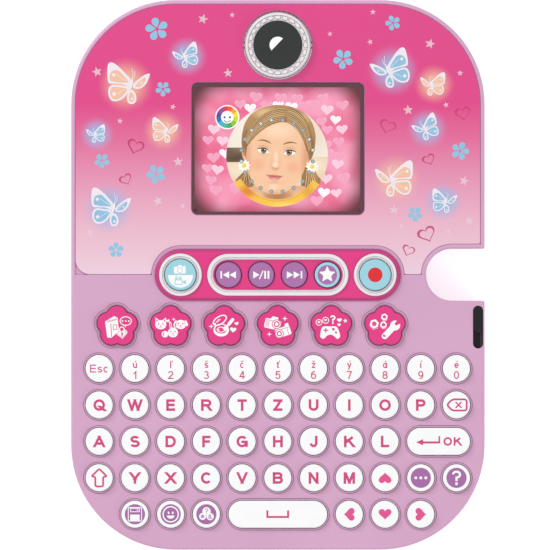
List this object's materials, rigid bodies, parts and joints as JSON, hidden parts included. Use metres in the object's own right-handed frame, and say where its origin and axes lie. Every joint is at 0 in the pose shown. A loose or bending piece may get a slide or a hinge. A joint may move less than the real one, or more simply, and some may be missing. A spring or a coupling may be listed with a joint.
{
  "type": "electronic diary",
  "caption": "Book-sized electronic diary: colour screen, flip-over camera, play controls, flower buttons and a letter keyboard in the face; hinged back lid over a hidden compartment.",
  "frame": {"origin": "under the middle of the case, on the surface that it lies on", "axes": "+Z out of the face, +Y towards the camera end, +X to the right as the keys are read"},
  "size_m": [0.17, 0.226, 0.0333],
  "materials": {
    "lilac_plastic": "moulded satin",
    "printed_plate": "printed under a clear gloss",
    "clear_window": "polished",
    "dark_screen": "gloss",
    "magenta_plastic": "moulded gloss",
    "bright_ring": "satin plated",
    "blue_plastic": "moulded gloss",
    "purple_plastic": "moulded gloss",
    "white_keycap": "moulded satin",
    "black_plastic": "moulded matt",
    "lens_dark": "polished",
    "pale_trim": "plated",
    "plain_steel": "bright zinc",
    "board_green": "solder mask",
    "grey_silicone": "moulded",
    "cell_jacket": "shrink sleeve"
  },
  "bodies": {
    "case": {"front_casing": "lilac_plastic", "rear_casing": "lilac_plastic", "printed_faceplate": "printed_plate", "screen_window": "clear_window", "screen_module": "dark_screen", "control_strip": "magenta_plastic", "round_rings": "bright_ring", "long_ring": "bright_ring", "hinge_pin": "plain_steel", "main_board": "board_green", "keypad_mat": "grey_silicone", "batteries": "cell_jacket", "battery_contacts": "plain_steel", "battery_door": "lilac_plastic", "battery_door_screw": "plain_steel", "casing_screws": "plain_steel", "speaker": "black_plastic"},
    "lid": {"rear_lid": "lilac_plastic", "lid_catch": "black_plastic"},
    "lock": {"lock_bar": "black_plastic", "lock_knob": "black_plastic"},
    "camera": {"camera_ball": "lilac_plastic", "camera_pins": "plain_steel", "camera_trim": "pale_trim", "camera_lens": "lens_dark"},
    "photo_video_button": {"photo_video_button": "blue_plastic"},
    "record_button": {"record_button": "blue_plastic"},
    "previous_button": {"previous_button": "purple_plastic"},
    "play_button": {"play_button": "purple_plastic"},
    "next_button": {"next_button": "purple_plastic"},
    "star_button": {"star_button": "purple_plastic"},
    "diary_button": {"diary_button": "magenta_plastic"},
    "animals_button": {"animals_button": "magenta_plastic"},
    "beauty_button": {"beauty_button": "magenta_plastic"},
    "photo_button": {"photo_button": "magenta_plastic"},
    "games_button": {"games_button": "magenta_plastic"},
    "tools_button": {"tools_button": "magenta_plastic"},
    "escape_key": {"escape_key": "white_keycap"},
    "backspace_key": {"backspace_key": "white_keycap"},
    "shift_key": {"shift_key": "white_keycap"},
    "heart_up_key": {"heart_up_key": "white_keycap"},
    "menu_key": {"menu_key": "white_keycap"},
    "help_key": {"help_key": "white_keycap"},
    "save_key": {"save_key": "white_keycap"},
    "smiley_key": {"smiley_key": "white_keycap"},
    "symbol_key": {"symbol_key": "white_keycap"},
    "heart_left_key": {"heart_left_key": "white_keycap"},
    "heart_down_key": {"heart_down_key": "white_keycap"},
    "heart_right_key": {"heart_right_key": "white_keycap"},
    "enter_key": {"enter_key": "white_keycap"},
    "space_key": {"space_key": "white_keycap"},
    "digit_keys": {"digit_keys": "white_keycap"},
    "top_letter_keys": {"top_letter_keys": "white_keycap"},
    "home_letter_keys": {"home_letter_keys": "white_keycap"},
    "bottom_letter_keys": {"bottom_letter_keys": "white_keycap"}
  },
  "joints": [
    {"name": "lid_hinge", "type": "hinge", "parent": "case", "child": "lid", "pos_m": [-0.082, 0, 0.003], "axis": [0, 1, 0], "range_deg": [0, 170]},
    {"name": "lock_slide", "type": "slide", "parent": "case", "child": "lock", "axis": [0, -1, 0], "range_m": [0, 0.0054]},
    {"name": "camera_turn", "type": "hinge", "parent": "case", "child": "camera", "pos_m": [0, 0.0944, 0.0275], "axis": [1, 0, 0], "range_deg": [0, 180]},
    {"name": "photo_video_button_press", "type": "slide", "parent": "case", "child": "photo_video_button", "axis": [0, 0, -1], "range_m": [0, 0.0012], "stiffness_N_per_m": 500},
    {"name": "record_button_press", "type": "slide", "parent": "case", "child": "record_button", "axis": [0, 0, -1], "range_m": [0, 0.0012], "stiffness_N_per_m": 500},
    {"name": "previous_button_press", "type": "slide", "parent": "case", "child": "previous_button", "axis": [0, 0, -1], "range_m": [0, 0.0012], "stiffness_N_per_m": 500},
    {"name": "play_button_press", "type": "slide", "parent": "case", "child": "play_button", "axis": [0, 0, -1], "range_m": [0, 0.0012], "stiffness_N_per_m": 500},
    {"name": "next_button_press", "type": "slide", "parent": "case", "child": "next_button", "axis": [0, 0, -1], "range_m": [0, 0.0012], "stiffness_N_per_m": 500},
    {"name": "star_button_press", "type": "slide", "parent": "case", "child": "star_button", "axis": [0, 0, -1], "range_m": [0, 0.0012], "stiffness_N_per_m": 500},
    {"name": "diary_button_press", "type": "slide", "parent": "case", "child": "diary_button", "axis": [0, 0, -1], "range_m": [0, 0.0012], "stiffness_N_per_m": 500},
    {"name": "animals_button_press", "type": "slide", "parent": "case", "child": "animals_button", "axis": [0, 0, -1], "range_m": [0, 0.0012], "stiffness_N_per_m": 500},
    {"name": "beauty_button_press", "type": "slide", "parent": "case", "child": "beauty_button", "axis": [0, 0, -1], "range_m": [0, 0.0012], "stiffness_N_per_m": 500},
    {"name": "photo_button_press", "type": "slide", "parent": "case", "child": "photo_button", "axis": [0, 0, -1], "range_m": [0, 0.0012], "stiffness_N_per_m": 500},
    {"name": "games_button_press", "type": "slide", "parent": "case", "child": "games_button", "axis": [0, 0, -1], "range_m": [0, 0.0012], "stiffness_N_per_m": 500},
    {"name": "tools_button_press", "type": "slide", "parent": "case", "child": "tools_button", "axis": [0, 0, -1], "range_m": [0, 0.0012], "stiffness_N_per_m": 500},
    {"name": "escape_key_press", "type": "slide", "parent": "case", "child": "escape_key", "axis": [0, 0, -1], "range_m": [0, 0.0012], "stiffness_N_per_m": 500},
    {"name": "backspace_key_press", "type": "slide", "parent": "case", "child": "backspace_key", "axis": [0, 0, -1], "range_m": [0, 0.0012], "stiffness_N_per_m": 500},
    {"name": "shift_key_press", "type": "slide", "parent": "case", "child": "shift_key", "axis": [0, 0, -1], "range_m": [0, 0.0012], "stiffness_N_per_m": 500},
    {"name": "heart_up_key_press", "type": "slide", "parent": "case", "child": "heart_up_key", "axis": [0, 0, -1], "range_m": [0, 0.0012], "stiffness_N_per_m": 500},
    {"name": "menu_key_press", "type": "slide", "parent": "case", "child": "menu_key", "axis": [0, 0, -1], "range_m": [0, 0.0012], "stiffness_N_per_m": 500},
    {"name": "help_key_press", "type": "slide", "parent": "case", "child": "help_key", "axis": [0, 0, -1], "range_m": [0, 0.0012], "stiffness_N_per_m": 500},
    {"name": "save_key_press", "type": "slide", "parent": "case", "child": "save_key", "axis": [0, 0, -1], "range_m": [0, 0.0012], "stiffness_N_per_m": 500},
    {"name": "smiley_key_press", "type": "slide", "parent": "case", "child": "smiley_key", "axis": [0, 0, -1], "range_m": [0, 0.0012], "stiffness_N_per_m": 500},
    {"name": "symbol_key_press", "type": "slide", "parent": "case", "child": "symbol_key", "axis": [0, 0, -1], "range_m": [0, 0.0012], "stiffness_N_per_m": 500},
    {"name": "heart_left_key_press", "type": "slide", "parent": "case", "child": "heart_left_key", "axis": [0, 0, -1], "range_m": [0, 0.0012], "stiffness_N_per_m": 500},
    {"name": "heart_down_key_press", "type": "slide", "parent": "case", "child": "heart_down_key", "axis": [0, 0, -1], "range_m": [0, 0.0012], "stiffness_N_per_m": 500},
    {"name": "heart_right_key_press", "type": "slide", "parent": "case", "child": "heart_right_key", "axis": [0, 0, -1], "range_m": [0, 0.0012], "stiffness_N_per_m": 500},
    {"name": "enter_key_press", "type": "slide", "parent": "case", "child": "enter_key", "axis": [0, 0, -1], "range_m": [0, 0.0012], "stiffness_N_per_m": 500},
    {"name": "space_key_press", "type": "slide", "parent": "case", "child": "space_key", "axis": [0, 0, -1], "range_m": [0, 0.0012], "stiffness_N_per_m": 500},
    {"name": "digit_keys_press", "type": "slide", "parent": "case", "child": "digit_keys", "axis": [0, 0, -1], "range_m": [0, 0.0012], "stiffness_N_per_m": 5000},
    {"name": "top_letter_keys_press", "type": "slide", "parent": "case", "child": "top_letter_keys", "axis": [0, 0, -1], "range_m": [0, 0.0012], "stiffness_N_per_m": 5000},
    {"name": "home_letter_keys_press", "type": "slide", "parent": "case", "child": "home_letter_keys", "axis": [0, 0, -1], "range_m": [0, 0.0012], "stiffness_N_per_m": 4500},
    {"name": "bottom_letter_keys_press", "type": "slide", "parent": "case", "child": "bottom_letter_keys", "axis": [0, 0, -1], "range_m": [0, 0.0012], "stiffness_N_per_m": 3500}
  ]
}
